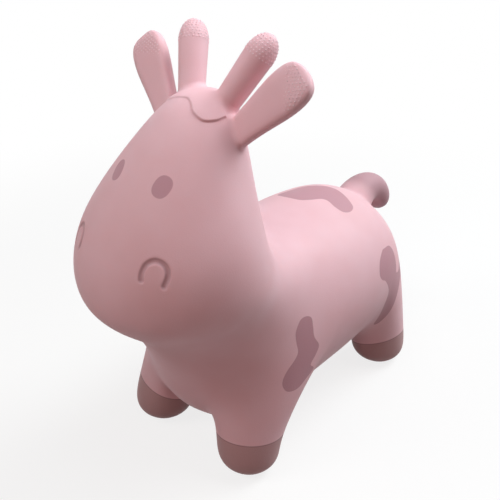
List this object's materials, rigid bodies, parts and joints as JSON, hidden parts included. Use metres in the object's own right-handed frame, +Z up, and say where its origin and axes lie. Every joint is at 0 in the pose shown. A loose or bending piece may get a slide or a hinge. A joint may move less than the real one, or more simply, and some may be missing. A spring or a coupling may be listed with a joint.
{
  "type": "bouncy ride on animal",
  "caption": "Air-filled soft cow for a small child to sit on and hop, with horns and ears as grips, springy stub legs and a plug valve in the belly.",
  "frame": {"origin": "on the floor, under the middle of the overall length and width", "axes": "+Z up, -Y towards the nose, +X towards the animal's left side"},
  "size_m": [0.2606, 0.5736, 0.546],
  "materials": {
    "skin_vinyl": "matt",
    "hoof_vinyl": "matt",
    "plug_vinyl": "satin"
  },
  "bodies": {
    "body": {"trunk_skin": "skin_vinyl", "head_skin": "skin_vinyl", "leg_front_left": "skin_vinyl", "leg_front_right": "skin_vinyl", "leg_hind_left": "skin_vinyl", "leg_hind_right": "skin_vinyl", "horn_root_left": "skin_vinyl", "horn_root_right": "skin_vinyl", "ear_root_left": "skin_vinyl", "ear_root_right": "skin_vinyl", "tail_root": "skin_vinyl", "valve_collar": "skin_vinyl"},
    "hoof_front_left": {"hoof_front_left": "hoof_vinyl"},
    "hoof_front_right": {"hoof_front_right": "hoof_vinyl"},
    "hoof_hind_left": {"hoof_hind_left": "hoof_vinyl"},
    "hoof_hind_right": {"hoof_hind_right": "hoof_vinyl"},
    "horn_left": {"horn_left": "skin_vinyl"},
    "horn_right": {"horn_right": "skin_vinyl"},
    "ear_left": {"ear_left": "skin_vinyl"},
    "ear_right": {"ear_right": "skin_vinyl"},
    "tail": {"tail": "skin_vinyl"},
    "valve_plug": {"valve_plug": "plug_vinyl"}
  },
  "joints": [
    {"name": "front_left_leg_squash", "type": "slide", "parent": "body", "child": "hoof_front_left", "axis": [0, 0, 1], "range_m": [0, 0.02], "stiffness_N_per_m": 5000, "springref_m": -0.002, "deforming": ["leg_front_left"]},
    {"name": "front_right_leg_squash", "type": "slide", "parent": "body", "child": "hoof_front_right", "axis": [0, 0, 1], "range_m": [0, 0.02], "stiffness_N_per_m": 5000, "springref_m": -0.002, "deforming": ["leg_front_right"]},
    {"name": "hind_left_leg_squash", "type": "slide", "parent": "body", "child": "hoof_hind_left", "axis": [0, 0, 1], "range_m": [0, 0.02], "stiffness_N_per_m": 5000, "springref_m": -0.002, "deforming": ["leg_hind_left"]},
    {"name": "hind_right_leg_squash", "type": "slide", "parent": "body", "child": "hoof_hind_right", "axis": [0, 0, 1], "range_m": [0, 0.02], "stiffness_N_per_m": 5000, "springref_m": -0.002, "deforming": ["leg_hind_right"]},
    {"name": "horn_left_bend", "type": "hinge", "parent": "body", "child": "horn_left", "pos_m": [0.02999, -0.10582, 0.48081], "axis": [0.9128, 0, -0.4085], "range_deg": [-20, 20], "stiffness_Nm_per_rad": 2, "deforming": ["horn_root_left"]},
    {"name": "horn_right_bend", "type": "hinge", "parent": "body", "child": "horn_right", "pos_m": [-0.02999, -0.10582, 0.48081], "axis": [0.9128, 0, 0.4085], "range_deg": [-20, 20], "stiffness_Nm_per_rad": 2, "deforming": ["horn_root_right"]},
    {"name": "ear_left_bend", "type": "hinge", "parent": "body", "child": "ear_left", "pos_m": [0.06038, -0.1196, 0.45504], "axis": [0.7572, -0.2103, -0.6184], "range_deg": [-20, 20], "stiffness_Nm_per_rad": 2, "deforming": ["ear_root_left"]},
    {"name": "ear_right_bend", "type": "hinge", "parent": "body", "child": "ear_right", "pos_m": [-0.06038, -0.1196, 0.45504], "axis": [0.7572, 0.2103, 0.6184], "range_deg": [-20, 20], "stiffness_Nm_per_rad": 2, "deforming": ["ear_root_right"]},
    {"name": "tail_bend", "type": "hinge", "parent": "body", "child": "tail", "pos_m": [0, 0.22097, 0.2512], "axis": [1, 0, 0], "range_deg": [-10, 25], "stiffness_Nm_per_rad": 2, "deforming": ["tail_root"]},
    {"name": "valve_plug_pull", "type": "slide", "parent": "body", "child": "valve_plug", "axis": [0, 0, -1], "range_m": [0, 0.03]}
  ]
}
